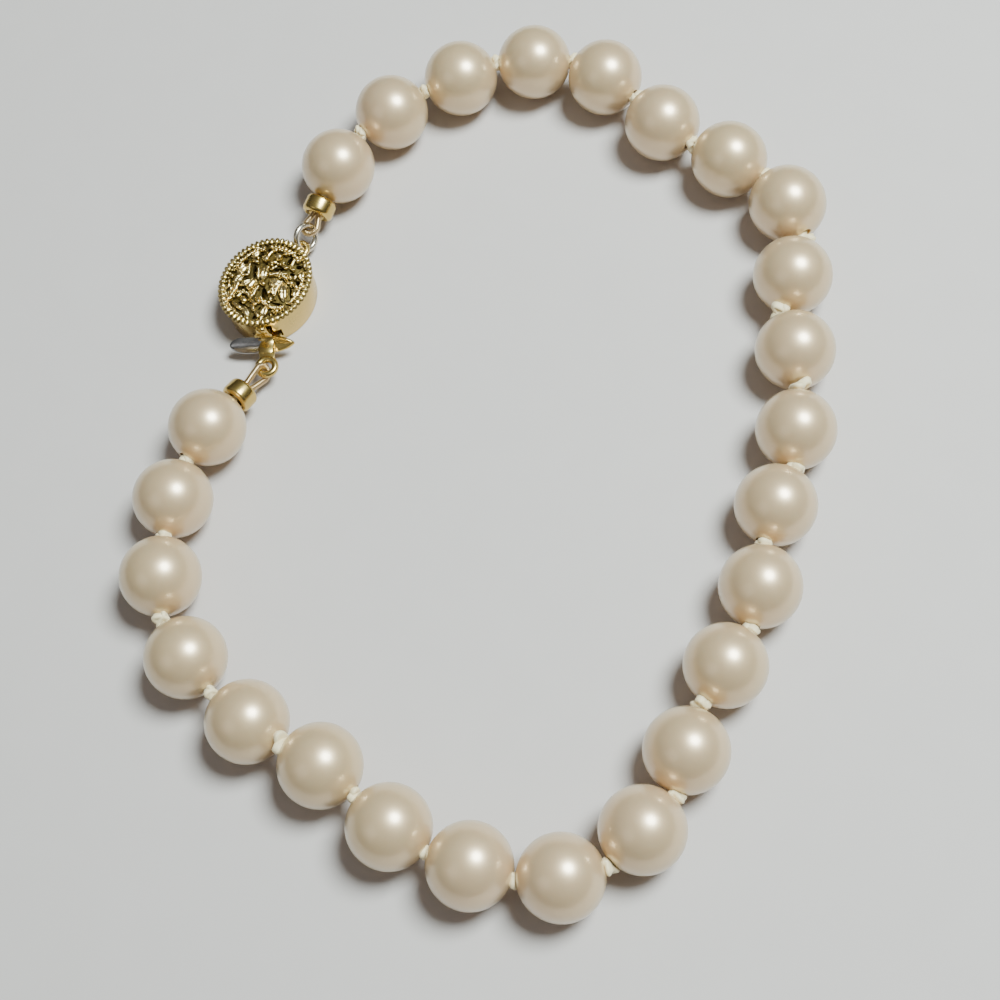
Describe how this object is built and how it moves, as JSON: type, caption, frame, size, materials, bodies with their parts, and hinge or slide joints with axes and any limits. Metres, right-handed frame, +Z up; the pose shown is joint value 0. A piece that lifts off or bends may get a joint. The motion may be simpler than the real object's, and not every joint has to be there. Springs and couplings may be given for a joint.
{
  "type": "pearl bracelet",
  "caption": "Single-strand knotted pearl bracelet closed by an oval filigree box clasp with a spring tongue, lying as one closed loop.",
  "frame": {"origin": "on the table, under the middle of the loop's outline; Z = 0 is the table that the pearls lie on", "axes": "+Y along the loop's longer extent, away from the picture's viewer; +X to the viewer's right; +Z up, off the table"},
  "size_m": [0.0534, 0.0722, 0.006],
  "materials": {
    "nacre": "cream-rose pearl nacre, smooth and lustrous, with a soft rosy edge",
    "silk": "twisted cream silk thread, matt, knotted between the pearls",
    "gold": "antique yellow gold: polished band and roundels, cast and pierced lid darkened in its recesses",
    "wound_wire": "thread loop wound tightly with fine gold wire, satin",
    "pale_metal": "pale silvery metal, polished"
  },
  "bodies": {
    "root": {"pearl_01": "nacre", "pearl_02": "nacre", "pearl_03": "nacre", "pearl_04": "nacre", "pearl_05": "nacre", "pearl_06": "nacre", "pearl_07": "nacre", "pearl_08": "nacre", "pearl_09": "nacre", "pearl_10": "nacre", "pearl_11": "nacre", "pearl_12": "nacre", "pearl_13": "nacre", "pearl_14": "nacre", "pearl_15": "nacre", "pearl_16": "nacre", "pearl_17": "nacre", "pearl_18": "nacre", "pearl_19": "nacre", "pearl_20": "nacre", "pearl_21": "nacre", "pearl_22": "nacre", "pearl_23": "nacre", "pearl_24": "nacre", "pearl_25": "nacre", "silk_thread": "silk", "roundel_1": "gold", "roundel_2": "gold", "end_loop_1": "wound_wire", "end_loop_2": "wound_wire", "jump_ring": "pale_metal", "clasp_box": "gold", "clasp_tongue": "gold"}
  },
  "joints": []
}
